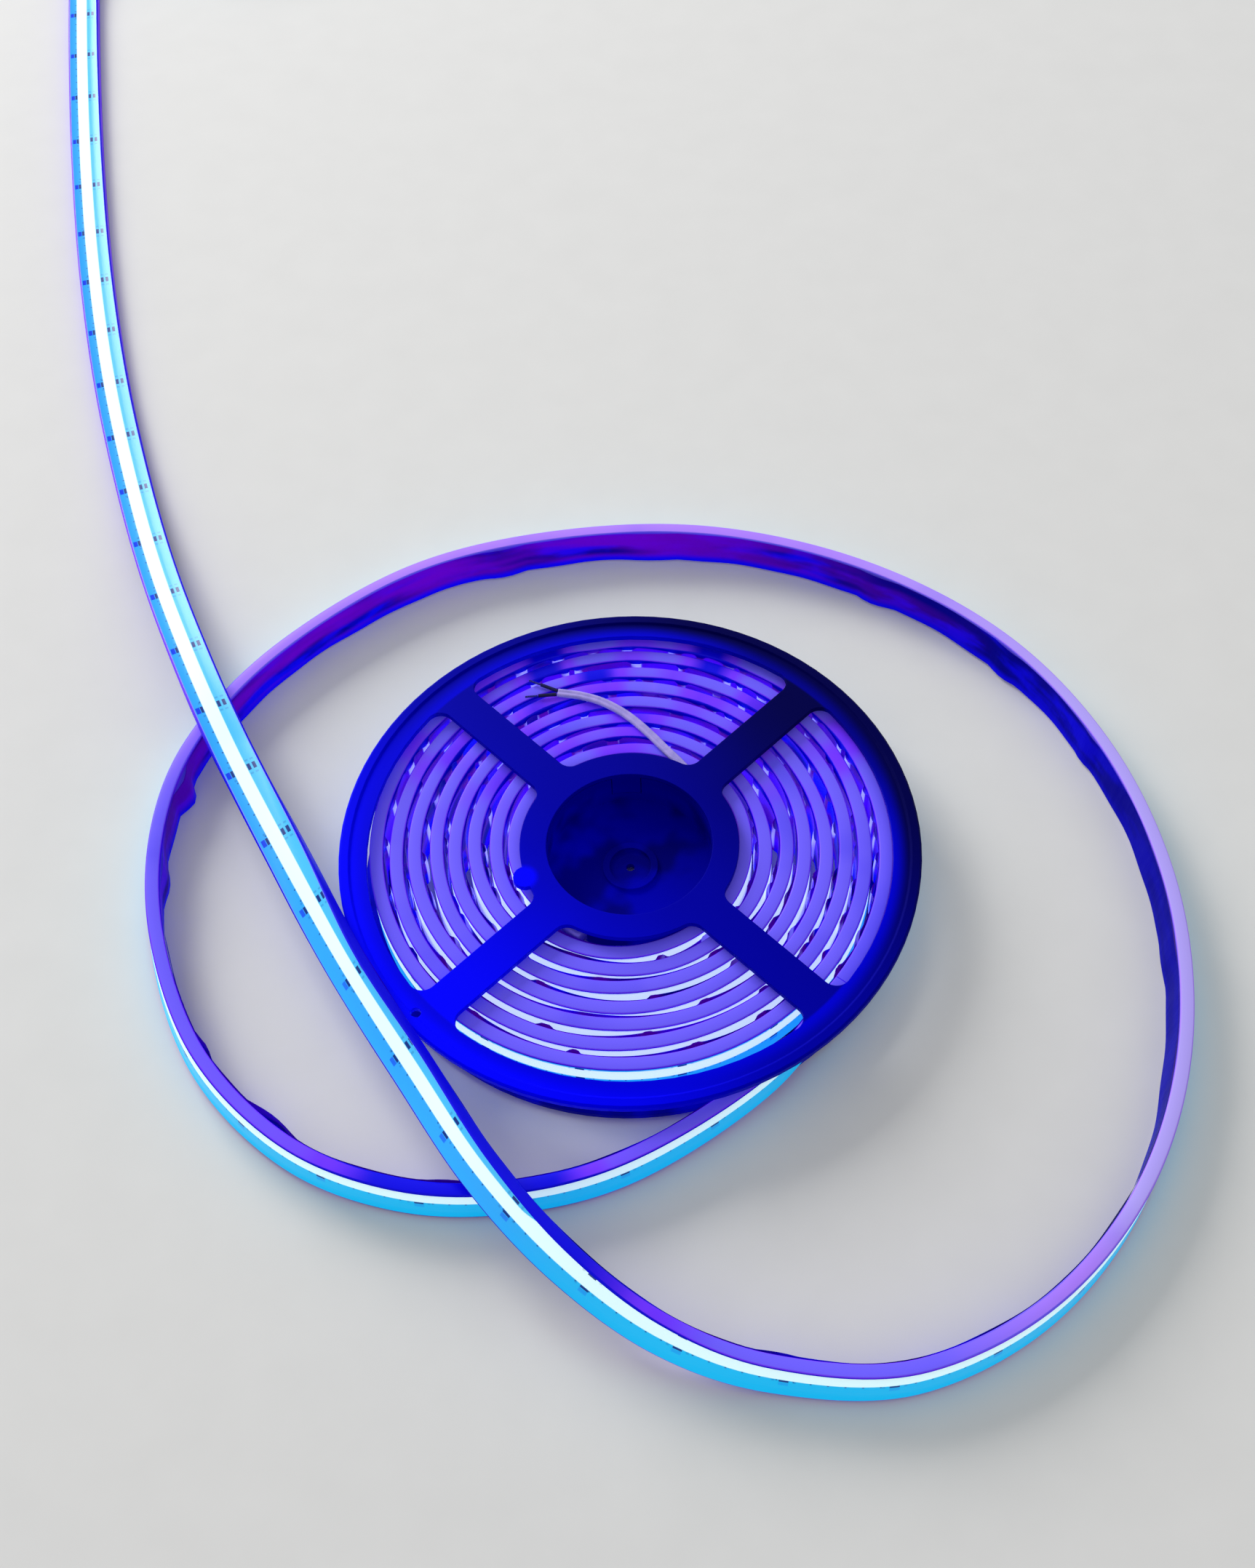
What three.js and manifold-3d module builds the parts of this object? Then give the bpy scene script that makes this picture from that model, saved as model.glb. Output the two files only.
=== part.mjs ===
// Led strip light reel: a two-part snap reel, the strip wound on it, and the stretch that leaves it.
// Millimetres, +Z up. The origin is on the table, under the centre of the hub.

import * as THREE from 'three';
import { mergeVertices } from 'three/addons/utils/BufferGeometryUtils.js';
import Module from 'manifold-3d';

const wasm = await Module();
wasm.setup();

// Clearance that pieces keep where they seat on each other
const gap = 0.3;

// Strip: a silicone sleeve round a flexible board
const stripWidth = 13;
const stripThick = 4.4;
const stripCorner = 0.7;

// Two-core flat lead, its cores and their tinned tips
const leadWidth = 3.0;
const leadThick = 1.6;
const coreRadius = 0.6;
const coreLength = 6.0;
const tipRadius = 0.35;
const tipLength = 4.0;
const coreSplay = 0.26;
const leadCorner = 0.48;
const leadSteps = { inner: 26, outer: 24 };

// End caps that close the sleeve
const capLength = 8;
const capProud = 0.1;

// Reel flanges
const lidRadius = 90;
const baseRadius = 84;
const flangeThick = 1.8;
const rimWidth = 8.6;
const hubRingWidth = 8.2;
const spokeWidth = 12;
const spokeAngle = 42.5 * Math.PI / 180;
const windowCorner = 4.5;
const beadWidth = 3.6;
const beadRise = 0.6;
const beadRound = 0.6;
const rimHoleRadius = 1.6;
const rimHoleAngle = -139.5 * Math.PI / 180;
const earRadius = 3.8;
const earAngle = -162 * Math.PI / 180;

// Hub: an open well inside the barrel, closed by a floor with a low collar and a pin hole
const wellRadius = 25.8;
const barrelWall = 2.6;
const floorTop = 4.7;
const pinHoleRadius = 1.3;
const collarRadius = 8.7;
const collarWidth = 2.2;
const collarRise = 1.2;

// Hooked tongues of the lid, which snap into the barrel
const tongueCount = 4;
const tongueThick = 1.3;
const tongueWidth = 9;
const tongueReach = 8.5;
const hookProud = 0.7;
const hookHeight = 2.0;

// Winding: the strip stands on edge and winds outward clockwise, seen from above
const windCentre = new THREE.Vector2(-1.3, 3.0);
const windPitch = 6.2;
const windInner = 33.5;
const windStart = 232 * Math.PI / 180;
const windTurns = 7 + 272 / 360;
const windSteps = 288;

// Loop at the strip's far end, as it is put away
const coilCentre = new THREE.Vector2(-162, 560);
const coilRadius = 66;
const coilPitch = 10;
const coilTurns = 1.104;
const coilPoints = 16;

// Fineness of the routes and of the round shapes
const arcDivisions = 2000;
const tangentStep = 1e-4;
const mergeDistance = 1e-4;
const turnSegments = 96;
const curveSegments = 8;
const tongueSegments = 6;
const postSides = 16;
const wireSides = 8;

// How far a cutting body runs past what it cuts
const cutMargin = 1;

// Heights that follow from these
const stripBottom = flangeThick + gap;
const stripTop = stripBottom + stripWidth;
const lidUnder = stripTop + gap + leadThick + gap;
const lidTop = lidUnder + flangeThick;
const barrelRadius = wellRadius + barrelWall;
const hubRingRadius = wellRadius + hubRingWidth;

const reelPlastic = { color: 0x0404b8, roughness: 0.42, metalness: 0.0 };
const sleeve = { color: 0x7a62ff, roughness: 0.35, metalness: 0.0 };
const capSilicone = { color: 0x8d7cf5, roughness: 0.5, metalness: 0.0 };
const leadSheath = { color: 0xb4a6e8, roughness: 0.45, metalness: 0.0 };
const coreJacket = { color: 0x14146a, roughness: 0.5, metalness: 0.0 };
const tinnedCopper = { color: 0xb8b8c8, roughness: 0.3, metalness: 0.9 };

const led_strip_reel = new THREE.Group();

function addMesh(name, geometry, look) {
  const mesh = new THREE.Mesh(geometry, new THREE.MeshStandardMaterial(look));
  mesh.name = name;
  led_strip_reel.add(mesh);
  return mesh;
}

// Solids that are joined and cut

function solid(geometry) {
  const bare = geometry.clone();
  bare.deleteAttribute('normal');
  bare.deleteAttribute('uv');
  const merged = mergeVertices(bare, mergeDistance);
  return new wasm.Manifold(new wasm.Mesh({
    numProp: 3,
    vertProperties: Float32Array.from(merged.attributes.position.array),
    triVerts: Uint32Array.from(merged.index.array),
  }));
}

function geometryOf(body) {
  const mesh = body.getMesh();
  const geometry = new THREE.BufferGeometry();
  geometry.setAttribute('position', new THREE.BufferAttribute(mesh.vertProperties, 3));
  geometry.setIndex(new THREE.BufferAttribute(mesh.triVerts, 1));
  geometry.computeVertexNormals();
  return geometry;
}

function slab(shape, bottom, height, segments = curveSegments) {
  const geometry = new THREE.ExtrudeGeometry(
    shape, { depth: height, bevelEnabled: false, curveSegments: segments });
  geometry.translate(0, 0, bottom);
  return solid(geometry);
}

function turned(profile) {
  const points = profile.map(([radius, height]) => new THREE.Vector2(radius, height));
  points.push(points[0].clone());
  const geometry = new THREE.LatheGeometry(points, turnSegments);
  geometry.rotateX(Math.PI / 2);
  return solid(geometry);
}

// An upright round post on the lid, at a distance and angle from the hub's centre
function post(radius, reach, angle, bottom, top) {
  const geometry = new THREE.CylinderGeometry(radius, radius, top - bottom, postSides);
  geometry.rotateX(Math.PI / 2);
  geometry.translate(reach * Math.cos(angle), reach * Math.sin(angle), (bottom + top) / 2);
  return solid(geometry);
}

function ringSector(inner, outer, from, to) {
  const shape = new THREE.Shape();
  shape.absarc(0, 0, outer, from, to, false);
  shape.absarc(0, 0, inner, to, from, true);
  return shape;
}

// A flange window between two spokes: straight sides beside the spokes, round corners
function windowShape(outer, quarter) {
  const half = spokeWidth / 2 + windowCorner;
  const low = hubRingRadius + windowCorner;
  const high = outer - windowCorner;
  const spokeA = spokeAngle + (quarter - 1) * Math.PI / 2;
  const spokeB = spokeAngle + quarter * Math.PI / 2;
  const beside = (spoke, radius, side) => spoke + side * Math.asin(half / radius);
  const highA = beside(spokeA, high, 1);
  const highB = beside(spokeB, high, -1);
  const lowA = beside(spokeA, low, 1);
  const lowB = beside(spokeB, low, -1);
  const corners = [
    { at: highA, radius: high, from: spokeA - Math.PI / 2, to: highA },
    { at: highB, radius: high, from: highB, to: spokeB + Math.PI / 2 },
    { at: lowB, radius: low, from: spokeB + Math.PI / 2, to: lowB + Math.PI },
    { at: lowA, radius: low, from: lowA + Math.PI, to: spokeA + 3 * Math.PI / 2 },
  ];
  const shape = new THREE.Shape();
  const cornerArc = ({ at, radius, from, to }) => shape.absarc(
    radius * Math.cos(at), radius * Math.sin(at), windowCorner, from, to, false);
  cornerArc(corners[0]);
  shape.absarc(0, 0, outer, corners[0].at, corners[1].at, false);
  cornerArc(corners[1]);
  cornerArc(corners[2]);
  shape.absarc(0, 0, hubRingRadius, corners[2].at, corners[3].at, true);
  cornerArc(corners[3]);
  shape.closePath();
  return shape;
}

// A flat ring with four windows, from the well to its rim
function makeFlange(radius, bottom) {
  let flange = turned([
    [wellRadius, bottom],
    [radius, bottom],
    [radius, bottom + flangeThick],
    [wellRadius, bottom + flangeThick],
  ]);
  for (let quarter = 0; quarter < 4; quarter += 1) {
    const opening = windowShape(radius - rimWidth, quarter);
    flange = flange.subtract(slab(opening, bottom - cutMargin, flangeThick + 2 * cutMargin));
  }
  return flange;
}

// Reel lid: upper flange, raised rim, round ear on the hub ring and hooked tongues, moulded as one

function makeLid() {
  const beadIn = lidRadius - beadWidth;
  let lid = makeFlange(lidRadius, lidUnder).add(turned([
    [beadIn, lidUnder + flangeThick / 2],
    [lidRadius, lidUnder + flangeThick / 2],
    [lidRadius, lidTop + beadRise - beadRound],
    [lidRadius - beadRound, lidTop + beadRise],
    [beadIn + beadRound, lidTop + beadRise],
    [beadIn, lidTop],
  ]));
  lid = lid.add(post(earRadius, hubRingRadius, earAngle, lidUnder, lidTop));
  const holeTop = lidTop + beadRise + cutMargin;
  lid = lid.subtract(post(
    rimHoleRadius, lidRadius - rimWidth / 2, rimHoleAngle, lidUnder - cutMargin, holeTop));
  const halfAngle = tongueWidth / 2 / wellRadius;
  for (let i = 0; i < tongueCount; i += 1) {
    const from = i * 2 * Math.PI / tongueCount - halfAngle;
    const to = from + 2 * halfAngle;
    const tongue = ringSector(wellRadius, wellRadius + tongueThick, from, to);
    const hook = ringSector(wellRadius, wellRadius + tongueThick + hookProud, from, to);
    lid = lid.add(slab(tongue, lidUnder - tongueReach, tongueReach + flangeThick / 2, tongueSegments));
    lid = lid.add(slab(hook, lidUnder - tongueReach, hookHeight, tongueSegments));
  }
  return geometryOf(lid);
}

// Reel base: lower flange, barrel, hub floor and collar, moulded as one

function makeBase() {
  let base = makeFlange(baseRadius, 0).add(turned([
    [wellRadius, 0],
    [barrelRadius, 0],
    [barrelRadius, lidUnder - gap],
    [wellRadius, lidUnder - gap],
  ]));
  base = base.add(turned([
    [pinHoleRadius, floorTop - flangeThick],
    [wellRadius + barrelWall / 2, floorTop - flangeThick],
    [wellRadius + barrelWall / 2, floorTop],
    [collarRadius, floorTop],
    [collarRadius, floorTop + collarRise],
    [collarRadius - collarWidth, floorTop + collarRise],
    [collarRadius - collarWidth, floorTop],
    [pinHoleRadius, floorTop],
  ]));
  const halfAngle = (tongueWidth / 2 + gap) / wellRadius;
  const notchBottom = lidUnder - tongueReach - gap;
  const inside = wellRadius - tongueThick;
  const outside = barrelRadius + tongueThick;
  for (let i = 0; i < tongueCount; i += 1) {
    const from = i * 2 * Math.PI / tongueCount - halfAngle;
    const to = from + 2 * halfAngle;
    const notch = ringSector(inside, wellRadius + tongueThick + gap, from, to);
    const catchHole = ringSector(inside, outside, from, to);
    base = base.subtract(slab(notch, notchBottom, tongueReach + 2 * gap, tongueSegments));
    base = base.subtract(slab(catchHole, notchBottom, hookHeight + 2 * gap, tongueSegments));
  }
  return geometryOf(base);
}

// Strip and lead sections: x runs along the face's outward normal, y across the width

function flatSection(width, thick, corner) {
  const x = thick / 2;
  const y = width / 2;
  const shape = new THREE.Shape();
  shape.moveTo(-x + corner, -y);
  shape.lineTo(x - corner, -y);
  shape.lineTo(x, -y + corner);
  shape.lineTo(x, y - corner);
  shape.lineTo(x - corner, y);
  shape.lineTo(-x + corner, y);
  shape.lineTo(-x, y - corner);
  shape.lineTo(-x, -y + corner);
  shape.closePath();
  return shape;
}

// Carries a straight extrusion of the section onto a route. place(share) gives the centre,
// the direction of travel and the lean there: 0 stands on edge, PI / 2 lies face up.
function sweep(section, steps, place) {
  const geometry = new THREE.ExtrudeGeometry(section, { depth: 1, steps, bevelEnabled: false });
  const position = geometry.attributes.position;
  const up = new THREE.Vector3(0, 0, 1);
  for (let i = 0; i < position.count; i += 1) {
    const { centre, travel, lean } = place(position.getZ(i));
    const left = new THREE.Vector3().crossVectors(up, travel).normalize();
    const normal = left.multiplyScalar(Math.cos(lean)).addScaledVector(up, Math.sin(lean));
    normal.addScaledVector(travel, -normal.dot(travel)).normalize();
    const across = new THREE.Vector3().crossVectors(travel, normal);
    const point = centre.clone();
    point.addScaledVector(normal, position.getX(i));
    point.addScaledVector(across, position.getY(i));
    position.setXYZ(i, point.x, point.y, point.z);
  }
  geometry.computeVertexNormals();
  return geometry;
}

// How high the centre of a flat section is over what its lowest corner rests on
function centreHeight(width, thick, lean) {
  return width / 2 * Math.abs(Math.cos(lean)) + thick / 2 * Math.abs(Math.sin(lean));
}

// Each route point is [x, y, height of the lowest corner, lean in degrees]
function routePlace(route, width, thick) {
  const curve = new THREE.CatmullRomCurve3(
    route.map(([x, y, low]) => new THREE.Vector3(x, y, low)), false, 'catmullrom', 0.5);
  curve.arcLengthDivisions = arcDivisions;
  const leanAt = (t) => {
    const index = Math.min(Math.floor(t * (route.length - 1)), route.length - 2);
    const weight = t * (route.length - 1) - index;
    return THREE.MathUtils.degToRad(THREE.MathUtils.lerp(route[index][3], route[index + 1][3], weight));
  };
  const centreAt = (t) => {
    const centre = curve.getPoint(t);
    centre.z = Math.max(centre.z, 0) + centreHeight(width, thick, leanAt(t));
    return centre;
  };
  return (share) => {
    const t = curve.getUtoTmapping(share);
    const ahead = centreAt(Math.min(t + tangentStep, 1));
    return {
      centre: centreAt(t),
      travel: ahead.sub(centreAt(Math.max(t - tangentStep, 0))).normalize(),
      lean: leanAt(t),
    };
  };
}

// Wound strip: one spiral from beside the barrel to under the lid's rim

function windPlace(share) {
  const angle = windStart - share * windTurns * 2 * Math.PI;
  const radius = windInner + windPitch * windTurns * share;
  return {
    centre: new THREE.Vector3(
      windCentre.x + radius * Math.cos(angle),
      windCentre.y + radius * Math.sin(angle),
      stripBottom + stripWidth / 2),
    travel: new THREE.Vector3(Math.sin(angle), -Math.cos(angle), 0),
    lean: 0,
  };
}

const stripSection = flatSection(stripWidth, stripThick, stripCorner);
const windBegin = windPlace(0);
const windEnd = windPlace(1);

// Free strip: out under the rim, once round the reel, over itself, past the rim and away
const leaves = windEnd.centre.clone().addScaledVector(windEnd.travel, gap);
const stripRoute = [
  [leaves.x, leaves.y, stripBottom, 0],
  [36.5, -77.8, 2.1, 2],
  [-1.8, -100.9, 0.3, 6],
  [-36.0, -109.3, 0, 4],
  [-70.4, -107.1, 0, 6],
  [-103.5, -92.1, 0, 8],
  [-131.4, -61.5, 0, 9],
  [-147.0, -20.1, 0, 8],
  [-149.5, 20.0, 0, 4],
  [-139.5, 55.0, 0, 0],
  [-113.0, 89.9, 0, -2],
  [-69.2, 120.4, 0, -5],
  [-18.9, 132.7, 0, -4],
  [34.3, 130.8, 0, -5],
  [85.5, 111.6, 0, -5],
  [127.3, 77.5, 0, -7],
  [153.7, 32.0, 0, -6],
  [164.3, -20.0, 0, -6],
  [159.1, -71.4, 0, -6],
  [140.4, -115.9, 0, -1],
  [109.3, -149.3, 0, 4],
  [70.5, -166.6, 0, 8],
  [31.8, -164.2, 0.5, 13],
  [2.0, -153.2, 4.5, 22],
  [-23.8, -133.9, 11.2, 31],
  [-45.8, -107.6, 14.7, 42],
  [-65.6, -74.1, 13.8, 50],
  [-86.2, -38.7, 14.2, 47],
  [-106.5, 2.9, 14.6, 72],
  [-127.1, 45.8, 14.7, 90],
  [-142.6, 82.8, 12.5, 90],
  [-158.9, 127.0, 6.5, 90],
  [-173.4, 174.2, 1.5, 90],
  [-187.5, 229.0, 0, 90],
  [-199.7, 289.5, 0, 90],
  [-210.0, 354.0, 0, 90],
  [-219.0, 422.0, 0, 90],
  [-226.0, 485.0, 0, 84],
  [-228.5, 524.0, 0, 36],
];
for (let i = 0; i <= coilPoints; i += 1) {
  const turn = coilTurns * i / coilPoints;
  const angle = Math.PI - turn * 2 * Math.PI;
  const radius = coilRadius - coilPitch * turn;
  const x = coilCentre.x + radius * Math.cos(angle);
  const y = coilCentre.y + radius * Math.sin(angle);
  stripRoute.push([x, y, 0, 0]);
}
const stripSteps = 78;
const stripPlace = routePlace(stripRoute, stripWidth, stripThick);
const stripEnd = stripPlace(1);

// End caps: plugs of the sleeve's outline, a little proud of it, swept the way the strip travels
function makeCap(from, travel) {
  const section = flatSection(stripWidth, stripThick + 2 * capProud, stripCorner);
  return sweep(section, 1, (share) => ({
    centre: from.clone().addScaledVector(travel, capLength * share),
    travel,
    lean: 0,
  }));
}

const inward = windBegin.travel.clone().negate();
const capReach = gap + capLength + gap;
const innerCapFrom = windBegin.centre.clone().addScaledVector(inward, gap + capLength);
const outerCapFrom = stripEnd.centre.clone().addScaledVector(stripEnd.travel, gap);

// Inner lead: round the barrel under the hub ring, up beside a spoke, then over the turns
const innerStart = windBegin.centre.clone().addScaledVector(inward, capReach);
const overTurns = stripTop + gap;
const leadMid = stripBottom + stripWidth / 2 - leadWidth / 2;
const leadLeaves = innerStart.clone().addScaledVector(inward, leadWidth);
const innerRoute = [
  [innerStart.x, innerStart.y, leadMid, 0],
  [leadLeaves.x, leadLeaves.y, leadMid, 0],
  [-5.6, -31.6, leadMid, 0],
  [4.0, -31.0, leadMid, 0],
  [15.4, -26.7, leadMid, 0],
  [25.6, -17.0, leadMid, 0],
  [30.2, -3.0, leadMid, 0],
  [28.9, 10.6, leadMid + 1.6, 10],
  [25.0, 19.0, 12.6, 60],
  [21.0, 25.4, overTurns, 90],
  [17.5, 31.0, overTurns, 90],
  [13.2, 36.6, overTurns, 90],
  [8.2, 43.3, overTurns, 90],
  [1.7, 50.7, overTurns, 90],
  [-5.7, 56.5, overTurns, 90],
  [-13.4, 59.9, overTurns, 90],
  [-20.9, 61.6, overTurns, 90],
];

// Outer lead: from the far cap down to the table, inside the loop
const outerStart = stripEnd.centre.clone().addScaledVector(stripEnd.travel, capReach);
const outerLeaves = outerStart.clone().addScaledVector(stripEnd.travel, leadWidth);
const outerLow = stripWidth / 2 - leadWidth / 2;
const outerRoute = [
  [outerStart.x, outerStart.y, outerLow, 0],
  [outerLeaves.x, outerLeaves.y, outerLow, 0],
];
const outerLeadTurns = [[2.6, 52.5], [0, 50.0], [0, 48.0], [0, 46.0], [0, 44.0], [0, 42.0], [0, 40.0]];
const outerLeadStep = 24 * Math.PI / 180;
const outerAngle = Math.atan2(outerLeaves.y - coilCentre.y, outerLeaves.x - coilCentre.x);
outerLeadTurns.forEach(([low, radius], i) => {
  const angle = outerAngle - (i + 1) * outerLeadStep;
  outerRoute.push([
    coilCentre.x + radius * Math.cos(angle),
    coilCentre.y + radius * Math.sin(angle),
    low,
    i === 0 ? 60 : 90,
  ]);
});

function rod(name, from, to, radius, look) {
  const along = to.clone().sub(from);
  const geometry = new THREE.CylinderGeometry(radius, radius, along.length(), wireSides);
  geometry.rotateX(Math.PI / 2);
  geometry.applyQuaternion(new THREE.Quaternion().setFromUnitVectors(
    new THREE.Vector3(0, 0, 1), along.clone().normalize()));
  geometry.translate((from.x + to.x) / 2, (from.y + to.y) / 2, (from.z + to.z) / 2);
  return addMesh(name, geometry, look);
}

// A lead's two cores leave its cut end side by side and spread a little
function addLead(side, route) {
  const place = routePlace(route, leadWidth, leadThick);
  const section = flatSection(leadWidth, leadThick, leadCorner);
  addMesh(`${side}_lead`, sweep(section, leadSteps[side], place), leadSheath);
  const { centre, travel } = place(1);
  const across = new THREE.Vector3(-travel.y, travel.x, 0).normalize();
  const flatTravel = new THREE.Vector3(travel.x, travel.y, 0).normalize();
  for (const [pole, sign] of [['positive', 1], ['negative', -1]]) {
    const start = centre.clone().addScaledVector(flatTravel, gap);
    start.addScaledVector(across, sign * (coreRadius + gap / 2));
    const heading = flatTravel.clone().multiplyScalar(Math.cos(coreSplay));
    heading.addScaledVector(across, sign * Math.sin(coreSplay));
    const coreEnd = start.clone().addScaledVector(heading, coreLength);
    const tipStart = coreEnd.clone().addScaledVector(heading, gap);
    rod(`${side}_core_${pole}`, start, coreEnd, coreRadius, coreJacket);
    rod(`${side}_tip_${pole}`, tipStart, tipStart.clone().addScaledVector(heading, tipLength),
      tipRadius, tinnedCopper);
  }
}

addMesh('reel_base', makeBase(), reelPlastic);
addMesh('reel_lid', makeLid(), reelPlastic);
addMesh('wound_strip', sweep(stripSection, windSteps, windPlace), sleeve);
addMesh('free_strip', sweep(stripSection, stripSteps, stripPlace), sleeve);
addMesh('inner_end_cap', makeCap(innerCapFrom, windBegin.travel), capSilicone);
addMesh('outer_end_cap', makeCap(outerCapFrom, stripEnd.travel), capSilicone);
addLead('inner', innerRoute);
addLead('outer', outerRoute);

export default led_strip_reel;
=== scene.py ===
import math

import bpy
import numpy as np
from mathutils import Matrix, Vector


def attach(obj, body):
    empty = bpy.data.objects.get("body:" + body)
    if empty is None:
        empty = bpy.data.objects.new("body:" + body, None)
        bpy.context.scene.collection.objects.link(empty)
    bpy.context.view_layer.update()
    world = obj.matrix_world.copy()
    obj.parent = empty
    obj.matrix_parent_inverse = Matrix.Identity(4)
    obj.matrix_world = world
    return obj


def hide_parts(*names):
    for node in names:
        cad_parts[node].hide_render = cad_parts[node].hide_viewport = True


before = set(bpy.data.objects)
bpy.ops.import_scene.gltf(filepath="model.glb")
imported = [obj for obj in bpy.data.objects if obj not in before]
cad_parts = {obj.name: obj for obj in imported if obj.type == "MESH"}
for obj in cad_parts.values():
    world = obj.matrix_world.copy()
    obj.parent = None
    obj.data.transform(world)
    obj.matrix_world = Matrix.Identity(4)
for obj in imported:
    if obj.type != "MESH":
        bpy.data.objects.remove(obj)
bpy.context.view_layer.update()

MM = 0.001
TURN = 2 * math.pi

# Strip, leads and reel, in millimetres, as in the solids
GAP = 0.3
STRIP_WIDTH = 13.0
STRIP_THICK = 4.4
LEAD_WIDTH = 3.0
LEAD_THICK = 1.6
CAP_LENGTH = 8.0
CAP_PROUD = 0.1
FLANGE_THICK = 1.8
WINDOW_RADIUS = 81.4
WIND_CENTRE = (-1.3, 3.0)
WIND_PITCH = 6.2
WIND_INNER = 33.5
WIND_START = math.radians(232)
WIND_TURNS = 7 + 272 / 360
COIL_CENTRE = (-162.0, 560.0)
COIL_RADIUS = 66.0
COIL_PITCH = 10.0
COIL_TURNS = 1.104
COIL_POINTS = 16
STRIP_BOTTOM = FLANGE_THICK + GAP
STRIP_TOP = STRIP_BOTTOM + STRIP_WIDTH

# Steps along a route: points that it is measured by, and millimetres between a mesh's rings
ROUTE_STEPS = 4000
RING_SPACING = 3.0
LINER_SPACING = 0.7
LEAD_SPACING = 1.5


# Camera

IMAGE_WIDTH = 1725
IMAGE_HEIGHT = 2156
FOCAL_PIXELS = 2800
SENSOR = 24.0
CAMERA_AT = (0.368, -341.084, 549.03)
CAMERA_ELEVATION = math.radians(55.58)
CAMERA_ROLL = math.radians(-2.854)


def add_camera():
    scene = bpy.context.scene
    scene.render.resolution_x = IMAGE_WIDTH
    scene.render.resolution_y = IMAGE_HEIGHT
    scene.view_settings.view_transform = "Standard"
    data = bpy.data.cameras.new("camera")
    data.sensor_fit = "VERTICAL"
    data.sensor_height = SENSOR
    data.lens = FOCAL_PIXELS / IMAGE_HEIGHT * SENSOR
    camera = bpy.data.objects.new("camera", data)
    scene.collection.objects.link(camera)
    scene.camera = camera
    ahead = Vector((0, math.cos(CAMERA_ELEVATION), -math.sin(CAMERA_ELEVATION)))
    level = Vector((1, 0, 0))
    raised = level.cross(ahead)
    right = math.cos(CAMERA_ROLL) * level + math.sin(CAMERA_ROLL) * raised
    up = math.cos(CAMERA_ROLL) * raised - math.sin(CAMERA_ROLL) * level
    turn = Matrix((right, up, -ahead)).transposed().to_4x4()
    camera.matrix_world = Matrix.Translation(Vector(CAMERA_AT) * MM) @ turn


# Routes: the solids' own points, [x, y, height of the lowest corner, lean in degrees]

def centre_height(width, thick, lean):
    return width / 2 * np.abs(np.cos(lean)) + thick / 2 * np.abs(np.sin(lean))


class Frames:
    """Even stations along a route, each with its centre, directions, distance, lean and route number."""

    def __init__(self, centre, travel, lean, first=0.0, number=None):
        up = np.array([0.0, 0.0, 1.0])
        left = np.cross(up, travel)
        left /= np.linalg.norm(left, axis=1)[:, None]
        normal = left * np.cos(lean)[:, None] + up * np.sin(lean)[:, None]
        normal -= travel * np.sum(normal * travel, axis=1)[:, None]
        normal /= np.linalg.norm(normal, axis=1)[:, None]
        steps = np.linalg.norm(np.diff(centre, axis=0), axis=1)
        self.centre = centre
        self.travel = travel
        self.normal = normal
        self.across = np.cross(travel, normal)
        self.along = first + np.concatenate([[0.0], np.cumsum(steps)])
        self.lean = lean
        self.number = number

    @property
    def length(self):
        return self.along[-1] - self.along[0]

    @property
    def path(self):
        return (self.centre * MM).tolist()


def curve_through(points, t):
    """The uniform Catmull-Rom curve that the solids follow, at t from 0 to the last point's number."""
    padded = np.vstack([2 * points[0] - points[1], points, 2 * points[-1] - points[-2]])
    index = np.clip(np.floor(t).astype(int), 0, len(points) - 2)
    w = (t - index)[:, None]
    a, b, c, d = (padded[index + k] for k in range(4))
    return b + 0.5 * w * (c - a + w * (2 * a - 5 * b + 4 * c - d + w * (3 * (b - c) + d - a)))


def follow(route, width, thick, spacing, first=0.0):
    points = np.array(route, float)
    fine = np.linspace(0, len(points) - 1, ROUTE_STEPS)
    places = curve_through(points, fine)
    lean = np.radians(places[:, 3])
    places[:, 2] = np.maximum(places[:, 2], 0) + centre_height(width, thick, lean)
    centre = places[:, :3]
    run = np.concatenate([[0.0], np.cumsum(np.linalg.norm(np.diff(centre, axis=0), axis=1))])
    count = int(round(run[-1] / spacing)) + 1
    even = np.linspace(0, run[-1], count)
    travel = np.gradient(centre, run, axis=0)
    at = lambda values: np.stack([np.interp(even, run, column) for column in values.T], axis=1)
    travel = at(travel)
    travel /= np.linalg.norm(travel, axis=1)[:, None]
    return Frames(at(centre), travel, np.interp(even, run, lean), first, np.interp(even, run, fine))


# The winding's wander, which the solid is without: size in mm and waves a turn, with a lesser second wave.
# It grows over the first twentieth of the turns, and dies away over the last twelfth
WANDER = 0.3
WANDER_WAVES = 2.37
SECOND_WANDER = 0.4
SECOND_WAVES = 2.7 * WANDER_WAVES
FROM_START = 20
FROM_END = 12


def wander(share):
    """How far the winding strays outward from an even spiral, by share of its turns."""
    angle = WIND_START - share * WIND_TURNS * TURN
    held = np.clip(FROM_START * share, 0, 1) * np.clip(FROM_END * (1 - share), 0, 1)
    return held * WANDER * (np.sin(WANDER_WAVES * angle) + SECOND_WANDER * np.sin(SECOND_WAVES * angle))


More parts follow.
